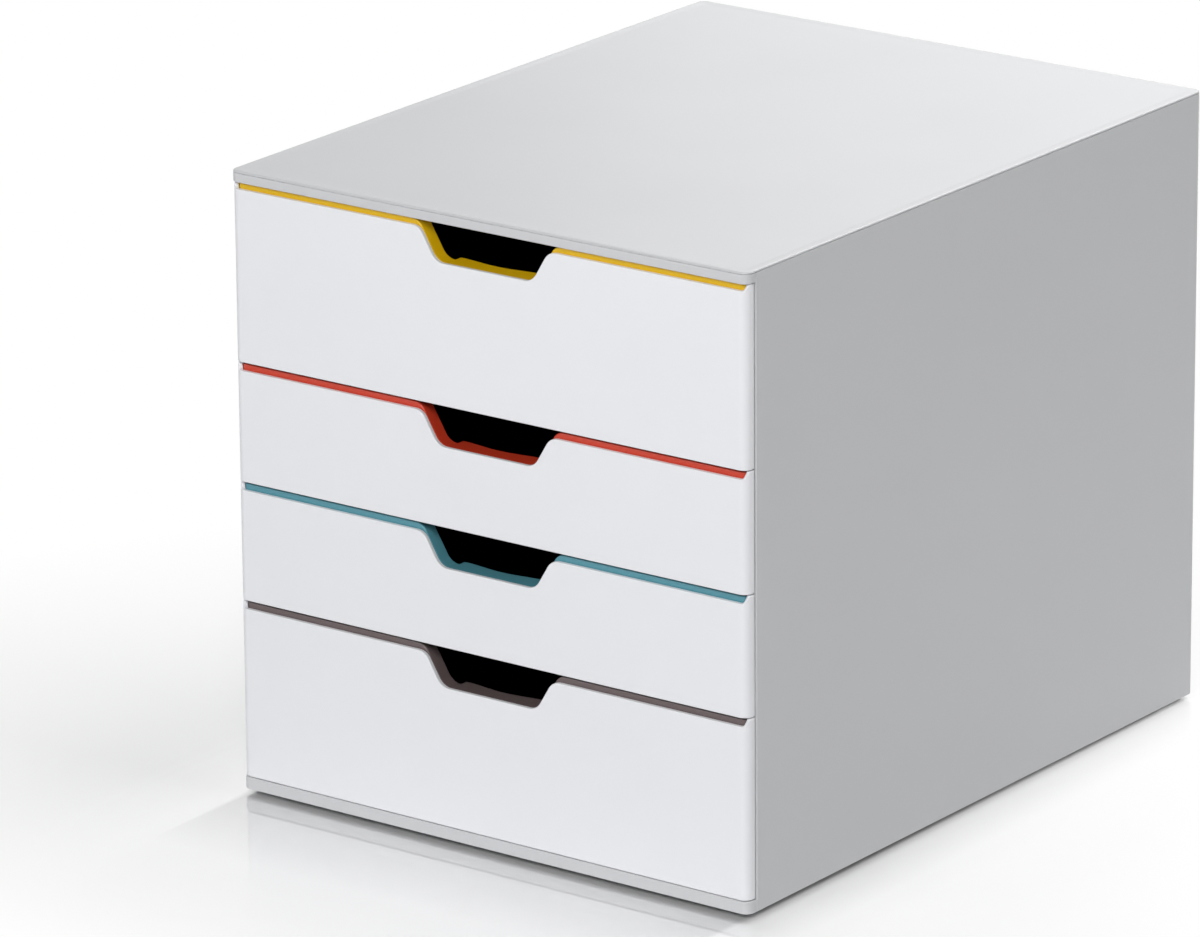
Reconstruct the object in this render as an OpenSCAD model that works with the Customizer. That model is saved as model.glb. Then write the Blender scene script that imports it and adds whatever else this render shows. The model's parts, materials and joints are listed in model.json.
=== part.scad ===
// Desktop drawer tower: a casing with four drawers, tall, short, short and tall.
// Millimetres. +X is to the right seen from the front, +Y to the back, +Z up.
// The origin is the middle of the footprint, on the surface that the feet stand on.

/* [Casing] */
// Width over the side walls
case_w = 280; // [240:1:340]
// Depth from the drawer fronts to the rear panel
case_d = 356; // [300:1:400]
// Radius of the casing's upright corners, seen from above
corner_r = 4.2; // [3.5:0.1:6]
// Thickness of the side walls
side_wall = 2.5; // [2:0.1:3.5]
// Thickness of the rear panel
rear_wall = 2.5; // [2:0.1:3.5]
// How far the rear panel's ends stay inside the casing's width
rear_inset = 12; // [9:0.5:25]
// Height of the casing's lower edge over the floor
ground_gap = 2.4; // [2:0.1:6]
// Height of the strip under the lowest drawer
base_strip_h = 5.8; // [5.4:0.1:12]
// How far the front strips reach back past the rounding of the corners
strip_margin = 2.3; // [0.5:0.1:3]
// Thickness of the base's floor plate
base_plate = 2.5; // [2:0.1:3.2]
// Depth of the ribs under the floor plate
rib_h = 1.5; // [1:0.1:2]
// Thickness of the ribs under the floor plate
rib_t = 1.6; // [1:0.1:3]
// Distance from rib to rib
rib_pitch = 40; // [25:1:80]

/* [Top] */
// Height of the strip over the upper drawer
header_h = 4.3; // [4:0.1:10]
// How far that strip hangs below the upper drawer's top line
header_drop = 0.8; // [0:0.1:1.2]
// Thickness of the deck behind the strip
deck_t = 2.5; // [1.5:0.1:2.8]
// How far the deck lies below the strip's upper edge
deck_drop = 1; // [0.5:0.1:1.4]
// Height of the groove between the strip and the cover
cover_seam = 0.2; // [0.1:0.05:0.6]
// Depth of that groove
seam_depth = 1; // [0.5:0.1:2]
// Gap round the part of the cover that lies on the deck
cover_play = 0.2; // [0.1:0.05:0.5]
// Height of the cover's rim
cover_h = 0.9; // [0.8:0.1:4]
// Rounding of the rim's upper edge
rim_r = 0.8; // [0.4:0.1:1.6]
// How deep the cover's field is dished
dish_depth = 0.3; // [0.1:0.05:0.6]
// Width of the rim round the dished field
dish_margin = 5; // [3:0.5:15]

/* [Feet] */
// Diameter of a rubber foot
foot_d = 14; // [8:1:20]
// Distance of a foot's centre from the side of the casing
foot_side = 25; // [18:1:60]
// Distance of a foot's centre from the front and the back of the casing
foot_end = 28; // [22:1:80]
// Wall of the ring that holds a foot
foot_ring = 1.6; // [1:0.1:3]
// Gap between a foot and its ring
foot_play = 0.2; // [0.1:0.05:0.4]

/* [Drawer levels] */
// Height from a tall drawer's lower seam to the next seam
tall_pitch = 83.7; // [60:0.1:110]
// Height from a short drawer's lower seam to the next seam
short_pitch = 55.8; // [45:0.1:70]
// How far a front's lower edge lies over its seam line
gap_over = 0.2; // [0.1:0.05:0.5]
// How far the ends of the next front stay under the seam line
gap_under = 0.4; // [0.2:0.05:1]

/* [Drawer fronts] */
// How far a front's ends stay inside the casing's width
front_inset = 0.5; // [0:0.1:1]
// Wall of a front
front_t = 2; // [1.5:0.1:3]
// Gap between the ends of a front and the side walls behind them
wrap_gap = 0.7; // [0.5:0.1:1.8]
// How far the front's upper edge is cut below the seam line
edge_cut = 3.75; // [2.5:0.05:6]
// Where the cut edge starts to rise, from the end of the front
rise_start = 1.4; // [0.8:0.1:4]
// Where the rising edge reaches its full height, from the end of the front
rise_end = 0.1; // [0.05:0.05:0.6]

/* [Finger notch] */
// Depth of the notch below the cut edge
notch_depth = 14.9; // [8:0.1:25]
// Width of the notch's floor between its corners
notch_w = 52.2; // [35:0.1:80]
// Slope of the notch's flanks, from upright
notch_slope = 31; // [15:1:45]
// Radius of the notch's lower corners
notch_low_r = 7.4; // [3:0.1:10]
// Radius of the notch's shoulders
notch_high_r = 6.6; // [4.5:0.1:9]

/* [Coloured profile] */
// How far the profile's upper edge lies under the seam line
profile_drop = 1.05; // [0.8:0.05:2]
// Gap between the front's back and the profile
profile_gap = 0.3; // [0.2:0.05:0.5]
// Depth of the profile from its front to its back
profile_d = 7.2; // [4.8:0.1:9]
// Thickness of the profile's upper web
profile_web = 1.5; // [1:0.1:2]
// Thickness of the profile's two flanges
flange_t = 1.2; // [0.8:0.1:1.4]
// Height of the profile's two flanges
flange_h = 6; // [4:0.5:9]
// Depth of the finger lip behind the profile, in the notch
lip_d = 4; // [2:0.5:12]
// How far the finger lip lies below the notch's floor
lip_step = 0.4; // [0.2:0.1:1.5]
// Thickness of the finger lip
lip_t = 1.3; // [0.8:0.1:1.3]

/* [Trays] */
// Gap between a tray and a side wall
tray_side_gap = 2; // [1.8:0.1:3.5]
// Gap between a tray and the rear panel
tray_rear_gap = 4; // [2:0.5:12]
// Wall of a tray
tray_wall = 1.8; // [1.2:0.1:2.6]
// Floor of a tray
tray_floor = 2; // [1.2:0.1:3]
// Height of a tray's floor over the seam line
tray_lift = 1.5; // [1.3:0.1:2.5]
// Distance from a tray's rim to the next seam line
tray_headroom = 6; // [4:0.5:15]
// Radius of a tray's inner upright corners
tray_r = 4; // [2:0.5:8]
// Play between the profile and the tray wall that it sits on
profile_play = 0.2; // [0.1:0.05:0.4]
// Width of a pad that carries the front
pad_w = 18; // [8:1:40]
// Distance of the outer pads from the middle
pad_spread = 95; // [60:1:115]

/* [Runners] */
// How far a ledge stands out of the side wall
ledge_w = 5; // [4:0.1:9]
// Thickness of a ledge
ledge_t = 2; // [1.2:0.1:2.4]
// Running gap between a ledge and the tray on it
ledge_gap = 0.3; // [0.2:0.05:0.6]
// Gap between the lowest ledges and the floor plate
plate_gap = 0.2; // [0.1:0.05:0.5]
// Distance of a ledge from the drawer fronts' face
ledge_start = 10; // [9:0.5:30]
// Distance of a ledge's end from the rear panel
ledge_end = 6; // [2:1:30]
// How far a drawer slides out
travel = 240; // [150:5:280]
// Gap between a stop on the side wall and the tray that runs past it
stop_clear = 0.7; // [0.3:0.05:0.8]
// Gap between a tray's stop lug and the side wall
lug_clear = 0.6; // [0.3:0.05:0.7]
// Length of a stop, and of a stop lug
stop_l = 4; // [2:0.5:8]
// Height of a stop, and of a stop lug
stop_h = 12; // [6:1:20]
// Gap that is left at the stop when a drawer is out
stop_gap = 0.5; // [0.3:0.1:1]

/* [Hidden] */

// Steps in a quarter turn of a rounded corner
corner_steps = 8;
// Sides of a foot and of its ring
foot_sides = 64;
// How far shapes of one piece reach into each other, and a cutting shape past what it cuts
over = 1;
// Least radius of a corner that lies inside another one
least_r = 0.4;
// Least upright part of the cover's rim below its rounding
least_rim = 0.1;

casing_grey = [0.83, 0.84, 0.86];
front_white = [0.94, 0.94, 0.95];
tray_charcoal = [0.15, 0.15, 0.16];
rubber_black = [0.09, 0.09, 0.09];
yellow = [0.85, 0.66, 0.1];
orange_red = [0.75, 0.21, 0.12];
teal = [0.3, 0.53, 0.58];
taupe = [0.38, 0.33, 0.33];
profile_colours = [undef, yellow, orange_red, teal, taupe];

// All depths are counted from the drawer fronts' face
face_y = -case_d / 2;
half_w = case_w / 2;
wall_in = half_w - side_wall;
rear_in = case_d - rear_wall;

// Depths of the front strips and of a front's ends
strip_d = corner_r + strip_margin;
front_wrap = strip_d - wrap_gap;

// Seam lines. Drawer 1 is the upper one and drawer 4 the lowest.
base_top = ground_gap + base_strip_h;
seam_0 = base_top + gap_over;
seam_1 = seam_0 + tall_pitch;
seam_2 = seam_1 + short_pitch;
seam_3 = seam_2 + short_pitch;
seam_4 = seam_3 + tall_pitch;
low_seam = [undef, seam_3, seam_2, seam_1, seam_0];
high_seam = [undef, seam_4, seam_3, seam_2, seam_1];

// Heights of the casing's top
header_z = seam_4 - header_drop;
wall_top = header_z + header_h;
deck_top = wall_top - deck_drop;
cover_z = wall_top + cover_seam;
case_top = cover_z + cover_h;
rim_round = min(rim_r, cover_h - least_rim);

// Heights of the casing's floor
plate_top = seam_0 + tray_lift - ledge_gap - ledge_t - plate_gap;
plate_z = plate_top - base_plate;
rib_z = plate_z - rib_h;

// Half widths and depths of a drawer's pieces
front_half = half_w - front_inset;
profile_half = min(front_half - front_t, wall_in) - profile_gap;
profile_y = front_t + profile_gap;
profile_back = profile_y + profile_d;
tray_half = wall_in - tray_side_gap;
tray_y = profile_y + flange_t + profile_play;
tray_front_t = profile_d - 2 * flange_t - 2 * profile_play;
tray_back = rear_in - tray_rear_gap;
tray_outer_r = tray_r + tray_wall;
stop_w = tray_side_gap - stop_clear;
lug_w = tray_side_gap - lug_clear;
lug_y = tray_back - tray_outer_r - stop_l;
stop_y = lug_y - travel - stop_gap - stop_l;

// Heights of drawer n's pieces
function front_top(n) = high_seam[n] - gap_under - (n == 1 ? header_drop : 0);
function cut_z(n) = high_seam[n] - edge_cut;
function notch_z(n) = cut_z(n) - notch_depth;
function profile_top(n) = min(high_seam[n] - profile_drop, front_top(n));
function tray_z(n) = low_seam[n] + tray_lift;
function tray_rim(n) = high_seam[n] - tray_headroom;
function ledge_z(n) = tray_z(n) - ledge_gap;

// Points on an arc round (cx, cy), from angle a0 to angle a1
function arc(cx, cy, r, a0, a1) =
    let (n = max(1, round(abs(a1 - a0) / 90 * corner_steps)))
    [for (i = [0:n]) let (a = a0 + (a1 - a0) * i / n) [cx + r * cos(a), cy + r * sin(a)]];

// A list of points mirrored in the middle plane, in the opposite order
function flip_x(pts) = [for (i = [len(pts) - 1:-1:0]) [-pts[i][0], pts[i][1]]];

// A list of points in the opposite order
function reverse(pts) = [for (i = [len(pts) - 1:-1:0]) pts[i]];

// A list of points moved up by dz
function raise(pts, dz) = [for (p = pts) [p[0], p[1] + dz]];

// Radius of an upright corner that lies inside the casing's corner
function inner_r(inside) = max(corner_r - inside, least_r);

// Area seen from above with rounded front corners, cut off straight at depth d
module front_area(half, r, d) {
    right = concat([[half, r + d]], arc(half - r, r, r, 0, -90));
    intersection() {
        polygon(concat(right, flip_x(right)));
        translate([-half - over, -over])
            square([2 * (half + over), d + over]);
    }
}

// Outline from above with four rounded corners
function ring_outline(half, r, d) =
    let (right = concat(arc(half - r, d - r, r, 90, 0), arc(half - r, r, r, 0, -90)))
    concat(right, flip_x(right));

// The upper edge with the notch in it, from left to right, moved outwards from the notch by off.
// top is the height of the edge, low the height of the notch's floor before it is moved.
function notch_line(top, low, off) =
    let (
        floor_z = low - off,
        half = notch_w / 2 + off * (1 / cos(notch_slope) - tan(notch_slope)),
        reach = half + (top - floor_z) * tan(notch_slope),
        turn = tan((90 - notch_slope) / 2),
        r_low = notch_low_r + off,
        r_high = notch_high_r - off,
        left = concat(
            arc(-reach - r_high * turn, top - r_high, r_high, 90, notch_slope),
            arc(-half + r_low * turn, floor_z + r_low, r_low, 180 + notch_slope, 270)))
    concat(left, flip_x(left));

// Shape drawn from the front, reaching from depth y0 to depth y1
module from_front(y0, y1) {
    translate([0, face_y + y1, 0])
        rotate([90, 0, 0])
            linear_extrude(height = y1 - y0)
                children();
}

// Shape drawn from above, reaching from height z0 to height z1
module from_above(z0, z1) {
    translate([0, face_y, z0])
        linear_extrude(height = z1 - z0)
            children();
}

// Shape drawn from the right side, reaching over the casing's width
module from_side() {
    translate([-half_w, face_y, 0])
        rotate([90, 0, 90])
            linear_extrude(height = case_w)
                children();
}

// Box between two corners
module block(low, high) {
    translate([low[0], face_y + low[1], low[2]])
        cube(high - low);
}

// ---- Casing ----

// Puts its children at the centre of each foot
module at_each_foot() {
    for (side = [-1, 1], y = [foot_end, case_d - foot_end])
        translate([side * (half_w - foot_side), face_y + y, 0])
            children();
}

// Ribs under the floor plate, both ways
module floor_ribs() {
    rows = floor((case_d / 2 - strip_d - rib_t) / rib_pitch);
    columns = floor((wall_in - rib_t) / rib_pitch);
    for (i = [-rows:rows]) {
        y = case_d / 2 + i * rib_pitch;
        block([-wall_in, y - rib_t / 2, rib_z], [wall_in, y + rib_t / 2, plate_z + over]);
    }
    for (i = [-columns:columns]) {
        x = i * rib_pitch;
        block([x - rib_t / 2, strip_d - over, rib_z], [x + rib_t / 2, rear_in, plate_z + over]);
    }
}

// Floor plate with the front strip, ribs below and a ring round each foot
module base_panel() {
    foot_hole_d = foot_d + 2 * foot_play;
    color(casing_grey)
    difference() {
        union() {
            from_above(ground_gap, base_top)
                front_area(half_w, corner_r, strip_d);
            block([-wall_in, strip_d - over, plate_z], [wall_in, rear_in, plate_top]);
            floor_ribs();
            at_each_foot()
                translate([0, 0, rib_z])
                    cylinder(h = rib_h + over, d = foot_hole_d + 2 * foot_ring, $fn = foot_sides);
        }
        at_each_foot()
            translate([0, 0, rib_z - over])
                cylinder(h = rib_h + over, d = foot_hole_d, $fn = foot_sides);
    }
}

// The side wall wraps the rear corner, and carries the ledges and stops on its inner face
module right_side_wall() {
    root = side_wall / 2;
    color(casing_grey) {
        from_above(ground_gap, wall_top)
            polygon(concat(
                [[wall_in, strip_d], [half_w, strip_d]],
                arc(half_w - corner_r, case_d - corner_r, corner_r, 0, 90),
                [[half_w - rear_inset, case_d], [half_w - rear_inset, rear_in], [wall_in, rear_in]]));
        for (n = [1:4]) {
            block([wall_in - ledge_w, ledge_start, ledge_z(n) - ledge_t],
                  [wall_in + root, rear_in - ledge_end, ledge_z(n)]);
            block([wall_in - stop_w, stop_y, tray_rim(n) - stop_h],
                  [wall_in + root, stop_y + stop_l, tray_rim(n)]);
        }
    }
}

module left_side_wall() {
    mirror([1, 0, 0])
        right_side_wall();
}

module rear_panel() {
    rear_half = half_w - rear_inset;
    color(casing_grey)
        block([-rear_half, rear_in, ground_gap], [rear_half, case_d, wall_top]);
}

// Strip over the upper drawer, with the deck behind it that closes the casing
module top_frame() {
    color(casing_grey) {
        from_above(header_z, wall_top)
            front_area(half_w, corner_r, strip_d);
        block([-wall_in, strip_d - over, deck_top - deck_t], [wall_in, rear_in, deck_top]);
    }
}

// Outline of the cover from one edge to the other: flat below, rounded above
function rim_outline(low_end, high_end) = concat(
    [[low_end, cover_z], [high_end, cover_z]],
    arc(high_end - rim_round, case_top - rim_round, rim_round, 0, 90),
    arc(low_end + rim_round, case_top - rim_round, rim_round, 90, 180));

// Cover with a rounded rim and a dished field. A foot leaves a groove all round, and the middle
// lies on the deck.
module top_cover() {
    inner_x = wall_in - cover_play;
    color(casing_grey)
    difference() {
        union() {
            intersection() {
                from_above(cover_z, case_top)
                    polygon(ring_outline(half_w, corner_r, case_d));
                from_front(0, case_d)
                    polygon(rim_outline(-half_w, half_w));
                from_side()
                    polygon(rim_outline(0, case_d));
            }
            from_above(wall_top, cover_z + cover_h / 2)
                translate([0, seam_depth])
                    polygon(ring_outline(half_w - seam_depth, inner_r(seam_depth),
                                         case_d - 2 * seam_depth));
            block([-inner_x, strip_d + cover_play, deck_top],
                  [inner_x, rear_in - cover_play, cover_z]);
        }
        from_above(case_top - dish_depth, case_top + over)
            translate([0, dish_margin])
                polygon(ring_outline(half_w - dish_margin, corner_r, case_d - 2 * dish_margin));
    }
}

// Rubber foot, seated in its ring against the floor plate
module foot(side, y) {
    color(rubber_black)
        translate([side * (half_w - foot_side), face_y + y, 0])
            cylinder(h = plate_z, d = foot_d, $fn = foot_sides);
}

// ---- Drawers ----

// White front: it wraps both corners, and its upper edge is cut down between the ends
module drawer_front(n) {
    side_x = front_half + over;
    z0 = low_seam[n] + gap_over;
    rise = [[front_half - rise_start, cut_z(n)], [front_half - rise_end, front_top(n)],
            [side_x, front_top(n)], [side_x, z0 - over]];
    color(front_white)
    intersection() {
        from_above(z0, high_seam[n])
            difference() {
                front_area(front_half, corner_r, front_wrap);
                translate([0, front_t])
                    front_area(front_half - front_t, inner_r(front_t), front_wrap);
            }
        from_front(-over, front_wrap + over)
            polygon(concat(flip_x(rise), notch_line(cut_z(n), notch_z(n), 0), rise));
    }
}

// Coloured profile: a channel over the tray's front wall, with a finger lip in the notch
module drawer_profile(n) {
    top = profile_top(n);
    inner_half = tray_half - tray_outer_r;
    lip_half = notch_w / 2 - notch_low_r / 2;
    lip_top = notch_z(n) - profile_gap - lip_step;
    line = notch_line(top, notch_z(n), profile_gap);
    below = notch_line(top - profile_web, notch_z(n), profile_gap + profile_web);
    color(profile_colours[n]) {
        intersection() {
            from_above(tray_z(n), high_seam[n])
                translate([0, profile_y])
                    front_area(profile_half, inner_r(profile_y), profile_d);
            union() {
                from_front(profile_y, profile_back)
                    edge_band(line, below, profile_half);
                from_front(profile_y, profile_y + flange_t)
                    edge_band(line, raise(line, -flange_h), profile_half);
                from_front(profile_back - flange_t, profile_back)
                    edge_band(line, raise(line, -flange_h), inner_half);
            }
        }
        block([-lip_half, profile_back - flange_t, lip_top - lip_t],
              [lip_half, profile_back + lip_d, lip_top]);
    }
}

// Band between an upper and a lower line, both carried on straight to half each way
module edge_band(upper, lower, half) {
    upper_z = upper[0][1];
    lower_z = lower[0][1];
    polygon(concat([[-half, upper_z]], upper, [[half, upper_z], [half, lower_z]],
                   reverse(lower), [[-half, lower_z]]));
}

// Tray with a front wall that the profile sits on, pads for the front, and stop lugs
module drawer_tray(n) {
    z0 = tray_z(n);
    seat = profile_web + profile_play;
    wall_line = notch_line(profile_top(n) - seat, notch_z(n), profile_gap + seat);
    floor_line = [[-tray_half, z0 - over], [tray_half, z0 - over]];
    pad_top = notch_z(n) - profile_gap - flange_h - profile_play;
    side_x = tray_half + over;
    wall_back = tray_y + tray_front_t;
    color(tray_charcoal) {
        difference() {
            intersection() {
                from_above(z0, high_seam[n])
                    translate([0, tray_y])
                        polygon(ring_outline(tray_half, tray_outer_r, tray_back - tray_y));
                union() {
                    block([-side_x, wall_back, z0 - over], [side_x, tray_back + over, tray_rim(n)]);
                    from_front(tray_y - over, wall_back + over)
                        edge_band(wall_line, floor_line, side_x);
                }
            }
            from_above(z0 + tray_floor, high_seam[n] + over)
                translate([0, wall_back])
                    polygon(ring_outline(tray_half - tray_wall, tray_r,
                                         tray_back - tray_wall - wall_back));
        }
        for (x = [-pad_spread, 0, pad_spread])
            block([x - pad_w / 2, front_t, z0], [x + pad_w / 2, tray_y + over, pad_top]);
        for (side = [-1, 1])
            stop_lug(side, n);
    }
}

// Lug near a tray's rear end, which meets the side wall's stop when the drawer is out
module stop_lug(side, n) {
    x_in = side * (tray_half - tray_wall / 2);
    x_out = side * (tray_half + lug_w);
    block([min(x_in, x_out), lug_y, tray_rim(n) - stop_h],
          [max(x_in, x_out), lug_y + stop_l, tray_rim(n)]);
}

// ---- Nodes ----

base_panel();
left_side_wall();
right_side_wall();
rear_panel();
top_frame();
top_cover();
foot(-1, foot_end);  // foot_front_left
foot(1, foot_end);  // foot_front_right
foot(-1, case_d - foot_end);  // foot_rear_left
foot(1, case_d - foot_end);  // foot_rear_right
drawer_front(1);  // drawer_1_front
drawer_profile(1);  // drawer_1_profile
drawer_tray(1);  // drawer_1_tray
drawer_front(2);  // drawer_2_front
drawer_profile(2);  // drawer_2_profile
drawer_tray(2);  // drawer_2_tray
drawer_front(3);  // drawer_3_front
drawer_profile(3);  // drawer_3_profile
drawer_tray(3);  // drawer_3_tray
drawer_front(4);  // drawer_4_front
drawer_profile(4);  // drawer_4_profile
drawer_tray(4);  // drawer_4_tray
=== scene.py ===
"""A desktop drawer tower: a light grey casing and four drawers with white fronts and coloured profiles."""

import json
import math

import bmesh
import bpy
from mathutils import Matrix, Vector


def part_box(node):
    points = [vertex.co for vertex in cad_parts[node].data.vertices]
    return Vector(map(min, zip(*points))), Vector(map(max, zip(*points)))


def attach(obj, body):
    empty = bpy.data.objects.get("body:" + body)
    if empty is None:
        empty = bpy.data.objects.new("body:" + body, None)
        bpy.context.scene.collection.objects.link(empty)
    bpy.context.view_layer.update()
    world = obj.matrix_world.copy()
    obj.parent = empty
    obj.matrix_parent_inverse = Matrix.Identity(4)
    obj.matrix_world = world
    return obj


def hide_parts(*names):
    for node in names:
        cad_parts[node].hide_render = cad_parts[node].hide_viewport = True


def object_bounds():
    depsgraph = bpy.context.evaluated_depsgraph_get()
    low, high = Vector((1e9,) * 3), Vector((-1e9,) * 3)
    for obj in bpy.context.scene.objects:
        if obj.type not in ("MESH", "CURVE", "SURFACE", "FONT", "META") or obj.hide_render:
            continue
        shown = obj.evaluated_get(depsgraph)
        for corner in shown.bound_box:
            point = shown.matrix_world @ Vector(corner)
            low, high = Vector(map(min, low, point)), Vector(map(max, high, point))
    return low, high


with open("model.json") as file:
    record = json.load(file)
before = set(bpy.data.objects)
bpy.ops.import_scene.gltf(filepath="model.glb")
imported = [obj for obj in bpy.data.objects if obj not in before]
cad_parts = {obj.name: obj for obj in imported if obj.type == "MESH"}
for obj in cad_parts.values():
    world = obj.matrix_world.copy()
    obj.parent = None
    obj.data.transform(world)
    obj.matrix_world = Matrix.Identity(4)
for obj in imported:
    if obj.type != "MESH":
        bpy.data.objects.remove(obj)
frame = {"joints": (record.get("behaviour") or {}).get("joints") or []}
cad_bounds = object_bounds()

MM = 0.001

# ---- Sizes that the frame's boxes don't give ----

CORNER_R = 4.2 * MM  # the casing's upright corners, seen from above
FRONT_INSET = 0.5 * MM  # how far a front's ends stay inside the casing's width
FRONT_WALL = 2 * MM
STRIP_WALL = 2.5 * MM  # the strips over and under the drawers
STRIP_MARGIN = 2.3 * MM  # how far the strips reach past the corner's rounding
SEAM_GAP = 0.2 * MM  # from a front's lower edge down to its seam line
HEADER_DROP = 0.8 * MM  # how far the header strip hangs below the upper seam line
EDGE_CUT = 3.75 * MM  # from a seam line down to the cut edge of the front below it
RISE_END = 73.0  # degrees round the corner where the cut edge has risen to its full height
RISE_SLOPE = 50.0  # degrees from level
RISE_LOW_R = 2 * MM
RISE_HIGH_R = 1.2 * MM
WRAP_GAP = 0.7 * MM  # from the ends of a front to the side walls behind them
SIDE_WALL = 2.5 * MM
REAR_WALL = 2.5 * MM
REAR_INSET = 12 * MM

NOTCH_DEPTH = 14.9 * MM
NOTCH_WIDTH = 52.2 * MM
NOTCH_SLOPE = 31.0  # degrees from upright
NOTCH_LOW_R = 7.4 * MM
NOTCH_HIGH_R = 6.6 * MM

PROFILE_GAP = 0.3 * MM  # between a front's back and the coloured profile
PROFILE_CORNER = CORNER_R - FRONT_WALL - PROFILE_GAP
PROFILE_DEPTH = 7.2 * MM
PROFILE_WEB = 1.5 * MM
FLANGE_WALL = 1.2 * MM
FLANGE_HEIGHT = 6 * MM
PROFILE_EDGE = 0.8 * MM  # rounding of its front edge
PROFILE_BACK_EDGE = 0.6 * MM  # rounding of its rear edge
LIP_STEP = 0.1 * MM
LIP_WALL = 1.3 * MM
LIP_MIDDLE = 0.45  # share of its depth that the finger lip keeps in the middle

TRAY_WALL = 1.8 * MM
TRAY_FLOOR = 2 * MM
TRAY_CORNER = 4 * MM
TRAY_PLAY = 0.2 * MM
TRAY_SIDE_GAP = 2 * MM
TRAY_FOOT_R = 1.5 * MM  # rounding where its walls meet its floor
TRAY_HEADROOM = 6 * MM
TRAY_FRONT_WALL = 4.4 * MM
LUG_SPAN = 1.4 * MM
STOP_HEIGHT = 12 * MM
STOP_LENGTH = 4 * MM
STOP_SPAN = 1.3 * MM
STOP_PLAY = 0.5 * MM  # left between stops and lugs when a drawer is fully out
PAD_WIDTH = 18 * MM
PAD_SPREAD = 95 * MM

LEDGE_SPAN = 5 * MM
LEDGE_WALL = 2 * MM
LEDGE_GAP = 0.3 * MM
LEDGE_START = 10 * MM
LEDGE_END = 6 * MM

DECK_WALL = 2.5 * MM
DECK_DROP = 1 * MM  # how far the deck lies below the header strip's upper edge
COVER_PLAY = 0.2 * MM
BASE_PLATE = 2.5 * MM
PLATE_DROP = 0.8 * MM  # from the top of the base strip down to the floor plate
RIB_HEIGHT = 1.5 * MM
RIB_WALL = 1.6 * MM
RIB_PITCH = 40 * MM
FOOT_PLAY = 0.2 * MM
FOOT_RING = 1.6 * MM
FOOT_EDGE = 0.8 * MM  # rounding of a foot's lower edge

GROOVE_DEPTH = 1 * MM
GROOVE_HEIGHT = 0.2 * MM
RIM_R = 0.8 * MM
DISH_DEPTH = 0.3 * MM
DISH_START = 1.6 * MM  # where the rim starts to fall towards the dished field
DISH_END = 5.5 * MM
FIELD_CORNER = CORNER_R / 3  # the dished field's corners, seen from above

FINE_EDGE = 0.3 * MM  # rounding of small edges
WALL_EDGE = FINE_EDGE * 1.5  # rounding of a side wall's front edge
FRONT_EDGE = 0.4 * MM  # rounding of the edges of a front's face
HEADER_EDGE = 0.5 * MM  # rounding of the header strip's edges
BASE_EDGE = 0.4 * MM  # rounding of the base strip's edges
ARC_STEPS = 10  # steps in a quarter turn that shows
EDGE_STEPS = 4  # steps in the rounding of an edge
SHARP_ANGLE = 40.0  # degrees between two faces from which their edge is drawn sharp
SAME_PLACE = 1e-7  # distance below which two points count as one

# ---- Places from the frame ----

HALF = cad_bounds[1].x
FACE = cad_bounds[0].y
BACK = cad_bounds[1].y
TOP = cad_bounds[1].z
DRAWERS = (1, 2, 3, 4)
HEADER_LOW, HEADER_HIGH = (corner.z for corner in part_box("top_frame"))
BASE_LOW, BASE_HIGH = (corner.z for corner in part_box("base_panel"))
STRIP_DEPTH = CORNER_R + STRIP_MARGIN
DECK_TOP = HEADER_HIGH - DECK_DROP
WALL_IN = HALF - SIDE_WALL
REAR_IN = BACK - REAR_WALL
PROFILE_FACE = FACE + FRONT_WALL + PROFILE_GAP  # the coloured profiles' front


def front_box(n):
    """The lowest and highest corner of drawer n's front."""
    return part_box(f"drawer_{n}_front")


def upper_seam(n):
    """Height of the seam line over drawer n."""
    if n == DRAWERS[0]:
        return HEADER_LOW + HEADER_DROP
    return front_box(n - 1)[0].z - SEAM_GAP


def notch_floor(n):
    """Height of the finger notch's floor in drawer n's front."""
    return upper_seam(n) - EDGE_CUT - NOTCH_DEPTH


# ---- Outlines ----


def arc(cx, cy, radius, start, end, steps=ARC_STEPS):
    """Points round (cx, cy), from the start angle to the end angle in degrees."""
    count = max(1, round(abs(end - start) / 90 * steps))
    angles = [math.radians(start + (end - start) * i / count) for i in range(count + 1)]
    return [(cx + radius * math.cos(a), cy + radius * math.sin(a)) for a in angles]


def mirrored(points):
    """Points mirrored in the middle plane, in the opposite order."""
    return [(-x, y) for x, y in reversed(points)]


def quarter_turn(steps):
    """The angles of a quarter turn in radians, in even steps."""
    return [math.pi / 2 * i / steps for i in range(steps + 1)]


def rounded_loop(half, low, high, radius):
    """An anticlockwise rectangle with rounded corners, symmetric about the middle plane."""
    centre = half - radius
    right = arc(centre, low + radius, radius, -90, 0) + arc(centre, high - radius, radius, 0, 90)
    return right + mirrored(right)


def box_loop(x0, x1, y0, y1):
    """An anticlockwise rectangle."""
    return [(x0, y0), (x1, y0), (x1, y1), (x0, y1)]


def notch_line(top, low, off=0.0):
    """The upper edge with the finger notch, from left to right, moved outwards from the notch by off."""
    slope = math.radians(NOTCH_SLOPE)
    floor_z = low - off
    half = NOTCH_WIDTH / 2 + off * (1 / math.cos(slope) - math.tan(slope))
    reach = half + (top - floor_z) * math.tan(slope)
    turn = math.tan((math.pi / 2 - slope) / 2)
    r_low = NOTCH_LOW_R + off
    r_high = NOTCH_HIGH_R - off
    shoulder = arc(-reach - r_high * turn, top - r_high, r_high, 90, NOTCH_SLOPE)
    corner = arc(-half + r_low * turn, floor_z + r_low, r_low, 180 + NOTCH_SLOPE, 270)
    return shoulder + corner + mirrored(shoulder + corner)


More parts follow.
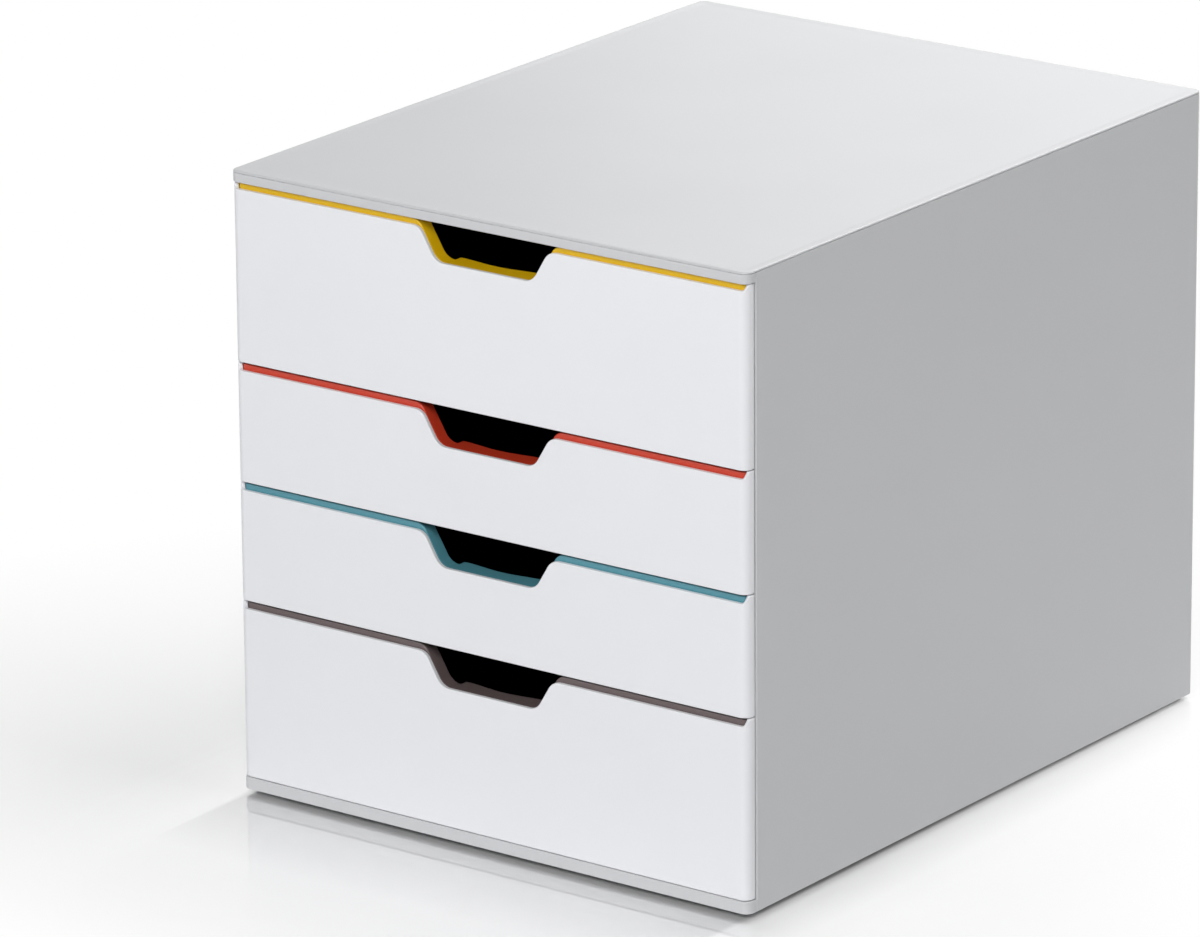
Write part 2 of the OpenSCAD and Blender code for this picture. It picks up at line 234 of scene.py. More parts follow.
def inset_loop(loop, distance):
    """An anticlockwise loop moved inwards."""
    points = [Vector(p) for p in loop]
    moved = []
    for before, here, after in zip(points[-1:] + points[:-1], points, points[1:] + points[:1]):
        into = (here - before).normalized()
        out = (after - here).normalized()
        first = Vector((-into.y, into.x))
        second = Vector((-out.y, out.x))
        moved.append(here + (first + second) * (distance / (1 + first.dot(second))))
    return moved


# ---- Meshes ----


def edge_levels(low, high, low_round=FINE_EDGE, high_round=FINE_EDGE):
    """The (inset, level) pairs of a slab's rings, round both of its edges."""
    turns = quarter_turn(EDGE_STEPS)
    lower = [(low_round * (1 - math.sin(t)), low + low_round * (1 - math.cos(t))) for t in turns]
    upper = [(high_round * (1 - math.cos(t)), high - high_round * (1 - math.sin(t))) for t in turns]
    return (lower if low_round else [(0, low)]) + (upper if high_round else [(0, high)])


def from_above(u, v, level):
    """A plan outline's point at a height."""
    return (u, v, level)


def from_front(u, v, level):
    """A front outline's point at a depth behind the drawers' face."""
    return (u, FACE + level, v)


def loft(bm, rings):
    """Faces between rings of points, and a cap on the first and the last."""
    loops = [[bm.verts.new(p) for p in ring] for ring in rings]
    for lower, upper in zip(loops, loops[1:]):
        for i in range(len(lower)):
            j = (i + 1) % len(lower)
            bm.faces.new((lower[i], lower[j], upper[j], upper[i]))
    bm.faces.new(loops[0][::-1])
    bm.faces.new(loops[-1])


def slab(bm, loop, levels, place=from_above):
    """A closed slab: the loop at each (inset, level)."""
    loft(bm, [[place(p[0], p[1], level) for p in inset_loop(loop, inset)] for inset, level in levels])


def block(bm, x, y, z, rounding=FINE_EDGE):
    """A box between two places on each axis, with rounded upper and lower edges."""
    slab(bm, box_loop(min(x), max(x), min(y), max(y)), edge_levels(min(z), max(z), rounding, rounding))


def wrapped_end(half, radius, depth):
    """Where a plate ends along its unbent length, so that bent round the corner it reaches that depth."""
    straight = half - radius
    if depth >= radius:
        return straight + radius * math.pi / 2 + depth - radius
    return straight + radius * math.acos(1 - depth / radius)


def cut_across(bm, x):
    """Cuts the faces at a place on X, without taking anything away."""
    everything = bm.verts[:] + bm.edges[:] + bm.faces[:]
    bmesh.ops.bisect_plane(bm, geom=everything, dist=SAME_PLACE, plane_co=(x, 0, 0), plane_no=(1, 0, 0))


def bend_round_corners(bm, half, radius):
    """Cuts the plate at steps round both corners, and bends it back from the drawers' face."""
    straight = half - radius
    for side in (-1, 1):
        for i in range(ARC_STEPS + 1):
            cut_across(bm, side * (straight + radius * math.pi / 2 * i / ARC_STEPS))
    for vertex in bm.verts:
        side = math.copysign(1, vertex.co.x)
        past = abs(vertex.co.x) - straight
        if past <= 0:
            continue
        depth = vertex.co.y - FACE
        angle = min(past / radius, math.pi / 2)
        beyond = past - radius * angle
        vertex.co.x = side * (straight + (radius - depth) * math.sin(angle))
        vertex.co.y = FACE + radius - (radius - depth) * math.cos(angle) + beyond


def finish_mesh(mesh):
    """Smooth shading, with edges between faces that meet at a sharp angle drawn sharp."""
    mesh.shade_smooth()
    mesh.set_sharp_from_angle(angle=math.radians(SHARP_ANGLE))


def settle(piece):
    """Replaces a piece's mesh by its evaluated one, and takes its modifiers off."""
    bpy.context.view_layer.update()
    mesh = bpy.data.meshes.new_from_object(piece.evaluated_get(bpy.context.evaluated_depsgraph_get()))
    piece.modifiers.clear()
    piece.data = mesh
    return piece


def make_piece(name, bm, material, body, replaced=()):
    """An object from a bmesh, with its material, riding on its body."""
    bmesh.ops.remove_doubles(bm, verts=bm.verts, dist=SAME_PLACE)
    bmesh.ops.dissolve_degenerate(bm, edges=bm.edges, dist=SAME_PLACE)
    bmesh.ops.recalc_face_normals(bm, faces=bm.faces)
    mesh = bpy.data.meshes.new(name)
    bm.to_mesh(mesh)
    bm.free()
    finish_mesh(mesh)
    mesh.materials.append(material)
    piece = bpy.data.objects.new(name, mesh)
    bpy.context.scene.collection.objects.link(piece)
    weighted = piece.modifiers.new("weighted", "WEIGHTED_NORMAL")
    weighted.keep_sharp = True
    weighted.weight = 100
    settle(piece)
    return place_piece(piece, body, replaced)


def place_piece(piece, body, replaced=()):
    """Says what the piece rides on and which nodes it stands for."""
    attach(piece, body)
    if replaced:
        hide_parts(*replaced)
    return piece


# ---- Shader graphs ----

CLOUD_SCALE = 11.0  # features to the metre
CLOUD_DEPTH = 0.03  # share by which the cloud is darker
GRAIN_SCALE = 900.0
GRAIN_DEPTH = 0.012 * MM
RUBBER_GRAIN_SCALE = 1400.0
RUBBER_GRAIN_DEPTH = 0.05 * MM


class Value:
    """A shader socket in a Python expression: +, - and * on it add Math nodes."""

    def __init__(self, shader, socket):
        self.shader = shader
        self.socket = socket

    def math(self, operation, first, second):
        """A Math node on two values."""
        return self.shader.node("ShaderNodeMath", {"operation": operation}, {0: first, 1: second}, "Value")

    def __add__(self, other):
        return self.math("ADD", self, other)

    def __sub__(self, other):
        return self.math("SUBTRACT", self, other)

    def __rsub__(self, other):
        return self.math("SUBTRACT", other, self)

    def __mul__(self, other):
        return self.math("MULTIPLY", self, other)

    __radd__ = __add__
    __rmul__ = __mul__


class Shader:
    """A node tree that is written with node() and expressions."""

    def __init__(self, owner):
        owner.use_nodes = True
        self.tree = owner.node_tree
        self.tree.nodes.clear()

    def node(self, kind, settings, sockets, output):
        """Adds a node: its settings first, then the values or links of its sockets. Gives one output."""
        made = self.tree.nodes.new(kind)
        for name, value in settings.items():
            setattr(made, name, value)
        for key, value in sockets.items():
            socket = made.inputs[key] if isinstance(key, int) else self.socket(made.inputs, key)
            if isinstance(value, Value):
                self.tree.links.new(value.socket, socket)
            else:
                socket.default_value = value
        return Value(self, self.socket(made.outputs, output)) if output else None

    @staticmethod
    def socket(sockets, key):
        """A socket by its identifier, or else by its name."""
        return next((s for s in sockets if s.identifier == key), None) or sockets[key]

    def noise(self, place, scale, detail=2.0):
        """A noise of that many features to the metre."""
        return self.node(
            "ShaderNodeTexNoise", {}, {"Vector": place, "Scale": scale, "Detail": detail}, "Fac"
        )

    def clamped(self, value):
        """A value held between 0 and 1."""
        return self.node("ShaderNodeClamp", {}, {"Value": value}, "Result")

    def size(self, value):
        """A value without its sign."""
        return self.node("ShaderNodeMath", {"operation": "ABSOLUTE"}, {0: value}, "Value")

    def mix(self, factor, first, second):
        """A colour between two colours."""
        return self.node(
            "ShaderNodeMix",
            {"data_type": "RGBA"},
            {"Factor_Float": factor, "A_Color": first, "B_Color": second},
            "Result_Color",
        )

    def surface(self, value):
        """Makes a shader the material's or the world's surface."""
        is_world = self.tree.id_data.id_type == "WORLD"
        kind = "ShaderNodeOutputWorld" if is_world else "ShaderNodeOutputMaterial"
        self.node(kind, {}, {"Surface": value}, None)


def linear(red, green, blue):
    """A colour as it shows on a screen, from 0 to 255, as linear values with an alpha."""

    def channel(c):
        c /= 255
        return c / 12.92 if c <= 0.04045 else ((c + 0.055) / 1.055) ** 2.4

    return (channel(red), channel(green), channel(blue), 1.0)


def moulded_plastic(name, colour, roughness):
    """Plastic with a fine moulded grain, a faint cloud in its colour and a slightly uneven sheen."""
    material = bpy.data.materials.new(name)
    shader = Shader(material)
    place = shader.node("ShaderNodeTexCoord", {}, {}, "Object")
    broad = shader.noise(place, CLOUD_SCALE)
    fine = shader.noise(place, GRAIN_SCALE, 3.0)
    shade = tuple(c * (1 - CLOUD_DEPTH) for c in colour[:3]) + (1.0,)
    bump = shader.node(
        "ShaderNodeBump", {}, {"Strength": 1.0, "Distance": GRAIN_DEPTH, "Height": fine}, "Normal"
    )
    plastic = shader.node(
        "ShaderNodeBsdfPrincipled",
        {},
        {
            "Base Color": shader.mix(broad, colour, shade),
            "Roughness": roughness + (broad - 0.5) * 0.08 + (fine - 0.5) * 0.04,
            "Normal": bump,
            "IOR": 1.49,
        },
        "BSDF",
    )
    shader.surface(plastic)
    return material


def rubber(name, colour):
    """Matte rubber with a coarse grain and dust in its hollows."""
    material = bpy.data.materials.new(name)
    shader = Shader(material)
    place = shader.node("ShaderNodeTexCoord", {}, {}, "Object")
    grain = shader.noise(place, RUBBER_GRAIN_SCALE, 4.0)
    dusty = linear(70, 68, 66)
    bump = shader.node(
        "ShaderNodeBump", {}, {"Strength": 1.0, "Distance": RUBBER_GRAIN_DEPTH, "Height": grain}, "Normal"
    )
    shader.surface(
        shader.node(
            "ShaderNodeBsdfPrincipled",
            {},
            {"Base Color": shader.mix(grain * 0.4, colour, dusty), "Roughness": 0.85, "Normal": bump},
            "BSDF",
        )
    )
    return material


casing_plastic = moulded_plastic("casing_plastic", linear(208, 209, 211), 0.36)
front_plastic = moulded_plastic("front_plastic", linear(240, 241, 244), 0.34)
# Charcoal trays: a guess at their colour, kept dark so that it also stands in, as painted shade, for the
# shade inside the closed drawers seen through the notches.
tray_plastic = moulded_plastic("tray_plastic", linear(30, 29, 30), 0.5)
foot_rubber = rubber("foot_rubber", linear(22, 22, 22))
profile_plastics = {
    1: moulded_plastic("profile_yellow_plastic", linear(236, 190, 2), 0.38),
    2: moulded_plastic("profile_red_plastic", linear(206, 62, 36), 0.38),
    3: moulded_plastic("profile_teal_plastic", linear(88, 152, 166), 0.38),
    4: moulded_plastic("profile_taupe_plastic", linear(108, 94, 94), 0.38),
}


# ---- Geometry node trees ----


class Tree:
    """A geometry node tree with named inputs, written with node() and links."""

    def __init__(self, name, inputs):
        self.tree = bpy.data.node_groups.new(name, "GeometryNodeTree")
        self.tree.is_modifier = True
        self.tree.interface.new_socket("Geometry", in_out="INPUT", socket_type="NodeSocketGeometry")
        for title, kind in inputs.items():
            self.tree.interface.new_socket(title, in_out="INPUT", socket_type=kind)
        self.tree.interface.new_socket("Geometry", in_out="OUTPUT", socket_type="NodeSocketGeometry")
        self.source = self.tree.nodes.new("NodeGroupInput")
        self.result = self.tree.nodes.new("NodeGroupOutput")

    def input(self, title):
        """One of the tree's named inputs."""
        return self.source.outputs[title]

    def node(self, kind, settings, sockets, output=0):
        """Adds a node: its settings first, then the values or links of its sockets. Gives one output."""
        made = self.tree.nodes.new(kind)
        for name, value in settings.items():
            setattr(made, name, value)
        for key, value in sockets.items():
            if isinstance(value, bpy.types.NodeSocket):
                self.tree.links.new(value, made.inputs[key])
            else:
                made.inputs[key].default_value = value
        return made.outputs[output]

    def end(self, geometry):
        """Realizes the instances, gives them the material and closes the tree."""
        real = self.node("GeometryNodeRealizeInstances", {}, {"Geometry": geometry})
        painted = self.node(
            "GeometryNodeSetMaterial", {}, {"Geometry": real, "Material": self.input("Material")}
        )
        self.tree.links.new(painted, self.result.inputs[0])
        return self.tree


def run_tree(name, tree, values, mesh=None):
    """An object whose mesh is what the tree makes of its inputs."""
    piece = bpy.data.objects.new(name, mesh or bpy.data.meshes.new(name))
    bpy.context.scene.collection.objects.link(piece)
    modifier = piece.modifiers.new("nodes", "NODES")
    modifier.node_group = tree
    for item in tree.interface.items_tree:
        if item.name in values:
            modifier[item.identifier] = values[item.name]
    return settle(piece)


def sweep_tree():
    """Sweeps a closed section, the Section mesh, along the piece's own line of edges."""
    tree = Tree("sweep_along_line", {"Section": "NodeSocketObject", "Material": "NodeSocketMaterial"})
    section = tree.node("GeometryNodeObjectInfo", {}, {"Object": tree.input("Section")}, "Geometry")
    outline = tree.node("GeometryNodeMeshToCurve", {}, {"Mesh": section})
    line = tree.node("GeometryNodeMeshToCurve", {}, {"Mesh": tree.source.outputs[0]})
    upright = tree.node("GeometryNodeSetCurveNormal", {"mode": "Z_UP"}, {"Curve": line})
    swept = tree.node(
        "GeometryNodeCurveToMesh", {}, {"Curve": upright, "Profile Curve": outline, "Fill Caps": True}
    )
    return tree.end(swept)


def rib_tree():
    """Rows of straight ribs side by side: one rib, instanced on a line of points."""
    inputs = {
        "Length": "NodeSocketFloat",
        "Wall": "NodeSocketFloat",
        "Height": "NodeSocketFloat",
        "Pitch": "NodeSocketFloat",
        "Count": "NodeSocketInt",
        "Turn": "NodeSocketFloat",
        "Middle": "NodeSocketVector",
        "Material": "NodeSocketMaterial",
    }
    tree = Tree("rows_of_ribs", inputs)
    size = tree.node(
        "ShaderNodeCombineXYZ",
        {},
        {"X": tree.input("Length"), "Y": tree.input("Wall"), "Z": tree.input("Height")},
    )
    rib = tree.node("GeometryNodeMeshCube", {}, {"Size": size})
    steps = tree.node("ShaderNodeMath", {"operation": "SUBTRACT"}, {0: tree.input("Count"), 1: 1.0})
    span = tree.node("ShaderNodeMath", {"operation": "MULTIPLY"}, {0: steps, 1: tree.input("Pitch")})
    first = tree.node("ShaderNodeMath", {"operation": "MULTIPLY"}, {0: span, 1: -0.5})
    start = tree.node("ShaderNodeCombineXYZ", {}, {"Y": first})
    offset = tree.node("ShaderNodeCombineXYZ", {}, {"Y": tree.input("Pitch")})
    row = tree.node(
        "GeometryNodeMeshLine",
        {"mode": "OFFSET"},
        {"Count": tree.input("Count"), "Start Location": start, "Offset": offset},
    )
    ribs = tree.node("GeometryNodeInstanceOnPoints", {}, {"Points": row, "Instance": rib})
    turn = tree.node("ShaderNodeCombineXYZ", {}, {"Z": tree.input("Turn")})
    placed = tree.node(
        "GeometryNodeTransform",
        {},
        {"Geometry": ribs, "Translation": tree.input("Middle"), "Rotation": turn},
    )
    return tree.end(placed)


def copies_tree():
    """Copies of the Piece mesh on the points of the piece's own mesh."""
    inputs = {"Piece": "NodeSocketObject", "Material": "NodeSocketMaterial"}
    tree = Tree("copies_on_points", inputs)
    shape = tree.node("GeometryNodeObjectInfo", {}, {"Object": tree.input("Piece")}, "Geometry")
    copies = tree.node(
        "GeometryNodeInstanceOnPoints", {}, {"Points": tree.source.outputs[0], "Instance": shape}
    )
    return tree.end(copies)


def helper_object(name, points, edges=()):
    """A mesh that a tree reads. It isn't linked to the scene."""
    mesh = bpy.data.meshes.new(name)
    mesh.from_pydata(points, edges, ())
    return bpy.data.objects.new(name, mesh)


# ---- Casing ----


def wrapped_strip(bm, low, high, edge):
    """A strip over or under the drawers, bent round both corners."""
    end = wrapped_end(HALF, CORNER_R, STRIP_DEPTH)
    slab(bm, box_loop(-end, end, low, high), edge_levels(0, STRIP_WALL, edge, FINE_EDGE), from_front)
    bend_round_corners(bm, HALF, CORNER_R)


def top_frame():
    """The header strip over the upper drawer, with the deck behind it."""
    bm = bmesh.new()
    wrapped_strip(bm, HEADER_LOW, HEADER_HIGH, HEADER_EDGE)
    deck_front = FACE + STRIP_WALL - FINE_EDGE
    block(bm, (-WALL_IN, WALL_IN), (deck_front, REAR_IN), (DECK_TOP - DECK_WALL, DECK_TOP), 0)
    make_piece("header_and_deck", bm, casing_plastic, "casing", ["top_frame"])


def top_cover():
    """The cover: a rounded rim, a shallow dished field, a foot in the groove and a middle on the deck."""
    low = HEADER_HIGH + GROOVE_HEIGHT
    lift = TOP - RIM_R - low
    turns = quarter_turn(2 * EDGE_STEPS)
    levels = [(GROOVE_DEPTH, HEADER_HIGH), (GROOVE_DEPTH, low), (lift, low)]
    levels += [(RIM_R * (1 - math.cos(t)), TOP - RIM_R * (1 - math.sin(t))) for t in turns]
    fall = [i / ARC_STEPS for i in range(ARC_STEPS + 1)]
    levels += [
        (DISH_START + (DISH_END - DISH_START) * t, TOP - DISH_DEPTH * (3 * t * t - 2 * t**3)) for t in fall
    ]
    bm = bmesh.new()
    rings = []
    for inset, level in levels:
        radius = max(CORNER_R - inset, FIELD_CORNER)
        loop = rounded_loop(HALF - inset, FACE + inset, BACK - inset, radius)
        rings.append([(x, y, level) for x, y in loop])
    loft(bm, rings)
    inner_x = WALL_IN - COVER_PLAY
    inner_y = (FACE + STRIP_DEPTH + COVER_PLAY, REAR_IN - COVER_PLAY)
    block(bm, (-inner_x, inner_x), inner_y, (DECK_TOP, low + FINE_EDGE), 0)
    make_piece("cover", bm, casing_plastic, "casing", ["top_cover"])


def side_wall(side, name):
    """A side wall that wraps the rear corner, with the drawers' ledges and stops on its inner face."""
    front_y = FACE + STRIP_DEPTH
    rear_x = HALF - REAR_INSET
    outline = [(WALL_IN, front_y)]
    outline += arc(HALF - WALL_EDGE, front_y + WALL_EDGE, WALL_EDGE, -90, 0, EDGE_STEPS)
    outline += arc(HALF - CORNER_R, BACK - CORNER_R, CORNER_R, 0, 90)
    outline += [(rear_x, BACK), (rear_x, REAR_IN), (WALL_IN, REAR_IN)]
    bm = bmesh.new()
    slab(bm, outline, edge_levels(BASE_LOW, HEADER_HIGH, FINE_EDGE, FINE_EDGE / 2))
    for n in DRAWERS:
        ledge_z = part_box(f"drawer_{n}_tray")[0].z - LEDGE_GAP
        rim = upper_seam(n) - TRAY_HEADROOM
        stop_y = stop_place()
        block(
            bm,
            (WALL_IN - LEDGE_SPAN, WALL_IN + SIDE_WALL / 2),
            (FACE + LEDGE_START, REAR_IN - LEDGE_END),
            (ledge_z - LEDGE_WALL, ledge_z),
        )
        block(
            bm,
            (WALL_IN - STOP_SPAN, WALL_IN + SIDE_WALL / 2),
            (stop_y, stop_y + STOP_LENGTH),
            (rim - STOP_HEIGHT, rim),
        )
    if side < 0:
        bmesh.ops.scale(bm, vec=(-1, 1, 1), verts=bm.verts)
    make_piece(f"{name}_wall_shell", bm, casing_plastic, "casing", [f"{name}_side_wall"])


def lug_place():
    """Depth place of a tray's stop lugs, as a Y coordinate."""
    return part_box("drawer_1_tray")[1].y - TRAY_CORNER - TRAY_WALL - STOP_LENGTH


def stop_place():
    """Y coordinate of the side walls' stops, from the lugs and the drawers' travel."""
    travel = max(frame["joints"][0]["range_m"])
    return lug_place() - travel - STOP_PLAY - STOP_LENGTH


def rear_panel():
    """The rear panel, with hairline seams beside the side walls' ends."""
    bm = bmesh.new()
    low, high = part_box("rear_panel")
    loop = box_loop(low.x, high.x, low.z, high.z)
    slab(bm, loop, edge_levels(low.y - FACE, high.y - FACE), from_front)
    make_piece("rear_panel_shell", bm, casing_plastic, "casing", ["rear_panel"])


def foot_places():
    """The four feet's names and centres."""
    names = ("front_left", "front_right", "rear_left", "rear_right")
    boxes = [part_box(f"foot_{name}") for name in names]
    return [f"foot_{name}" for name in names], [(low + high) / 2 for low, high in boxes]


def base_panel():
    """The base: its front strip, floor plate and the rings round the feet, with ribs below."""
    bm = bmesh.new()
    wrapped_strip(bm, BASE_LOW, BASE_HIGH, BASE_EDGE)
    plate_high = BASE_HIGH - PLATE_DROP
    block(
        bm,
        (-WALL_IN, WALL_IN),
        (FACE + STRIP_WALL - FINE_EDGE, REAR_IN),
        (plate_high - BASE_PLATE, plate_high),
        0,
    )
    low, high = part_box("foot_front_left")
    radius = (high.x - low.x) / 2 + FOOT_PLAY
    plate_low = plate_high - BASE_PLATE
    for centre in foot_places()[1]:
        ring_levels = [
            (radius, plate_low),
            (radius, plate_low - RIB_HEIGHT),
            (radius + FOOT_RING, plate_low - RIB_HEIGHT),
            (radius + FOOT_RING, plate_low),
        ]
        rings = [[(x, y, z) for x, y in arc(centre.x, centre.y, r, 0, 360)[:-1]] for r, z in ring_levels]
        loft(bm, rings)
    make_piece("base_and_strip", bm, casing_plastic, "casing", ["base_panel"])
    tree = rib_tree()
    inner = (FACE + STRIP_DEPTH, REAR_IN)
    for name, length, turn, count in (
        ("base_cross_ribs", 2 * WALL_IN, 0.0, 2 * int((inner[1] - inner[0]) / 2 / RIB_PITCH) + 1),
        ("base_long_ribs", inner[1] - inner[0], math.pi / 2, 2 * int(WALL_IN / RIB_PITCH) + 1),
    ):
        middle = (0, (inner[0] + inner[1]) / 2 if turn else 0, plate_low - RIB_HEIGHT / 2)
        values = {
            "Length": length,
            "Wall": RIB_WALL,
            "Height": RIB_HEIGHT,
            "Pitch": RIB_PITCH,
            "Count": count,
            "Turn": turn,
            "Middle": middle,
            "Material": casing_plastic,
        }
        place_piece(run_tree(name, tree, values), "casing")


def feet():
    """Four turned rubber feet with a rounded lower edge, each seated in its ring."""
    names, centres = foot_places()
    low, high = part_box(names[0])
    radius = (high.x - low.x) / 2
    height = high.z - low.z
    turns = quarter_turn(EDGE_STEPS)
    line = [(radius - FOOT_EDGE * (1 - math.sin(t)), FOOT_EDGE * (1 - math.cos(t))) for t in turns]
    line.append((radius, height))
    bm = bmesh.new()
    rings = [[(x, y, z) for x, y in arc(0, 0, r, 0, 360)[:-1]] for r, z in line]
    loft(bm, rings)
    bmesh.ops.recalc_face_normals(bm, faces=bm.faces)
    shape = bpy.data.meshes.new("foot_shape")
    bm.to_mesh(shape)
    bm.free()
    finish_mesh(shape)
    points = helper_object("foot_points", [(c.x, c.y, low.z) for c in centres])
    values = {"Piece": bpy.data.objects.new("foot_shape", shape), "Material": foot_rubber}
    placed = run_tree("rubber_feet", copies_tree(), values, points.data)
    place_piece(placed, "casing", names)


# ---- Drawers ----


def rising_edge(half, low, high):
    """The line on which the cut edge rises round the corner, along the unbent plate."""
    slope = math.radians(RISE_SLOPE)
    end = half - CORNER_R + CORNER_R * math.radians(RISE_END)
    radii = RISE_LOW_R + RISE_HIGH_R
    straight = (high - low - radii * (1 - math.cos(slope))) / math.sin(slope)
    start = end - radii * math.sin(slope) - straight * math.cos(slope)
    foot = arc(start, low + RISE_LOW_R, RISE_LOW_R, -90, RISE_SLOPE - 90)
    return foot + arc(end, high - RISE_HIGH_R, RISE_HIGH_R, 90 + RISE_SLOPE, 90)


def drawer_front(n):
    """The white front: rounded face edges, the finger notch, and ends that wrap the corners."""
    low, high = front_box(n)
    half = HALF - FRONT_INSET
    cut = upper_seam(n) - EDGE_CUT
    end = wrapped_end(half, CORNER_R, STRIP_DEPTH - WRAP_GAP)
    rise = rising_edge(half, cut, high.z) + [(end, high.z)]
    loop = [(-end, low.z), (end, low.z)] + rise[::-1] + notch_line(cut, notch_floor(n))[::-1]
    loop += [(-x, z) for x, z in rise]
    bm = bmesh.new()
    slab(bm, loop, edge_levels(0, FRONT_WALL, FRONT_EDGE, FINE_EDGE), from_front)
    bend_round_corners(bm, half, CORNER_R)
    make_piece(f"front_{n}", bm, front_plastic, f"drawer_{n}", [f"drawer_{n}_front"])


def profile_section():
    """The coloured profile's closed section: a channel, open below. X is depth and Y is height."""
    depth, web, wall, height = PROFILE_DEPTH, PROFILE_WEB, FLANGE_WALL, FLANGE_HEIGHT
    points = [(wall, -height), (wall, -web), (depth - wall, -web)]
    points += [(depth - wall, -height), (depth, -height)]
    points += arc(depth - PROFILE_BACK_EDGE, -PROFILE_BACK_EDGE, PROFILE_BACK_EDGE, 0, 90)
    points += arc(PROFILE_EDGE, -PROFILE_EDGE, PROFILE_EDGE, 90, 180, EDGE_STEPS)
    return points + [(0, -height)]


def profile_line(top, n):
    """The profile's upper line, with a point at each step round the corners of its plan."""
    straight = profile_half() - PROFILE_CORNER
    corner = [(straight + PROFILE_CORNER * math.sin(t), top) for t in quarter_turn(ARC_STEPS)]
    line = notch_line(top, notch_floor(n), PROFILE_GAP)
    return mirrored(corner) + line + corner


def profile_half():
    """Half the coloured profile's width."""
    return HALF - FRONT_INSET - FRONT_WALL - PROFILE_GAP


def round_profile_ends(mesh):
    """Draws the profile back behind the rounded ends of the front, and keeps its rear face straight."""
    end = PROFILE_FACE + PROFILE_DEPTH
    for vertex in mesh.vertices:
        past = abs(vertex.co.x) - (profile_half() - PROFILE_CORNER)
        if past > 0:
            back = PROFILE_CORNER - math.sqrt(max(PROFILE_CORNER**2 - past**2, 0))
            share = (vertex.co.y - PROFILE_FACE) / (end - PROFILE_FACE)
            vertex.co.y = PROFILE_FACE + back + share * (end - PROFILE_FACE - back)


def drawer_profile(n, tree, section):
    """The coloured profile, swept along the edge and round the notch, with a finger lip behind it."""
    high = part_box(f"drawer_{n}_profile")[1]
    points = [(x, PROFILE_FACE, z) for x, z in profile_line(high.z, n)]
    path = helper_object(f"profile_line_{n}", points, [(i, i + 1) for i in range(len(points) - 1)])
    material = profile_plastics[n]
    swept = run_tree(f"profile_sweep_{n}", tree, {"Section": section, "Material": material}, path.data)
    round_profile_ends(swept.data)
    bm = bmesh.new()
    bm.from_mesh(swept.data)
    bpy.data.objects.remove(swept)
    finger_lip(bm, n, PROFILE_FACE + PROFILE_DEPTH, high.y)
    make_piece(f"profile_{n}", bm, material, f"drawer_{n}", [f"drawer_{n}_profile"])


def finger_lip(bm, n, start, end):
    """A thin lip behind the notch's floor, whose rear edge swings forward in the middle."""
    half = NOTCH_WIDTH / 2 - NOTCH_LOW_R / 2
    high = notch_floor(n) - PROFILE_GAP - LIP_STEP
    rear = []
    for i in range(-ARC_STEPS, ARC_STEPS + 1):
        swing = (1 + math.cos(math.pi * i / ARC_STEPS)) / 2
        rear.append((half * i / ARC_STEPS, end - (end - start) * (1 - LIP_MIDDLE) * swing))
    loop = [(-half, start - FLANGE_WALL), (half, start - FLANGE_WALL)] + rear[::-1]
    slab(bm, loop, edge_levels(high - LIP_WALL, high))


def drawer_tray(n):
    """The tray: rounded corners, a higher front wall cut for the notch, pads and stop lugs."""
    low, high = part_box(f"drawer_{n}_tray")
    half = WALL_IN - TRAY_SIDE_GAP
    front_y = PROFILE_FACE + FLANGE_WALL + TRAY_PLAY
    rim = upper_seam(n) - TRAY_HEADROOM
    straight = half - TRAY_CORNER - TRAY_WALL
    line = notch_line(high.z, notch_floor(n), PROFILE_GAP + PROFILE_WEB + TRAY_PLAY)
    front_edge = [(FINE_EDGE - straight, high.z)] + line + [(straight - FINE_EDGE, high.z)]

    def ring(inner, inset, level=None, drop=0.0):
        """A ring inside the outer or the inner face, at a level or that far below the wall's edge."""
        front = front_y + TRAY_FRONT_WALL * inner + inset
        radius = TRAY_CORNER + TRAY_WALL * (not inner) - inset
        turn = arc(straight, front + radius, radius, -90, 0)
        turn += arc(straight, high.y - TRAY_WALL * inner - inset - radius, radius, 0, 90)
        points = [(x, front, z) for x, z in front_edge] + [(x, y, rim) for x, y in turn + mirrored(turn)]
        return [(x, y, z - drop if level is None else level) for x, y, z in points]

    bm = bmesh.new()
    turns = quarter_turn(EDGE_STEPS)
    foot = TRAY_FOOT_R
    rings = [ring(False, foot * (1 - math.sin(t)), low.z + foot * (1 - math.cos(t))) for t in turns]
    rings += [ring(False, FINE_EDGE * (1 - math.cos(t)), drop=FINE_EDGE * (1 - math.sin(t))) for t in turns]
    rings += [ring(True, FINE_EDGE * (math.sin(t) - 1), drop=FINE_EDGE * (1 - math.cos(t))) for t in turns]
    floor_z = low.z + TRAY_FLOOR
    rings += [ring(True, foot * (1 - math.cos(t)), floor_z + foot * (1 - math.sin(t))) for t in turns]
    loft(bm, rings)
    pad_high = notch_floor(n) - PROFILE_GAP - FLANGE_HEIGHT - TRAY_PLAY
    for x in (-PAD_SPREAD, 0, PAD_SPREAD):
        reach = (FACE + FRONT_WALL, front_y + TRAY_FRONT_WALL / 2)
        block(bm, (x - PAD_WIDTH / 2, x + PAD_WIDTH / 2), reach, (low.z, pad_high))
    for side in (-1, 1):
        span = (side * (half - TRAY_WALL / 2), side * (half + LUG_SPAN))
        block(bm, span, (lug_place(), lug_place() + STOP_LENGTH), (rim - STOP_HEIGHT, rim))
    make_piece(f"tray_{n}", bm, tray_plastic, f"drawer_{n}", [f"drawer_{n}_tray"])


# ---- The object ----

top_frame()
top_cover()
side_wall(-1, "left")
side_wall(1, "right")
rear_panel()
base_panel()
feet()

sweep = sweep_tree()
section_points = [(-x, -y, 0) for x, y in profile_section()]
section_edges = [(i, (i + 1) % len(section_points)) for i in range(len(section_points))]
section_shape = helper_object("profile_section", section_points, section_edges)
for drawer in DRAWERS:
    drawer_front(drawer)
    drawer_profile(drawer, sweep, section_shape)
    drawer_tray(drawer)


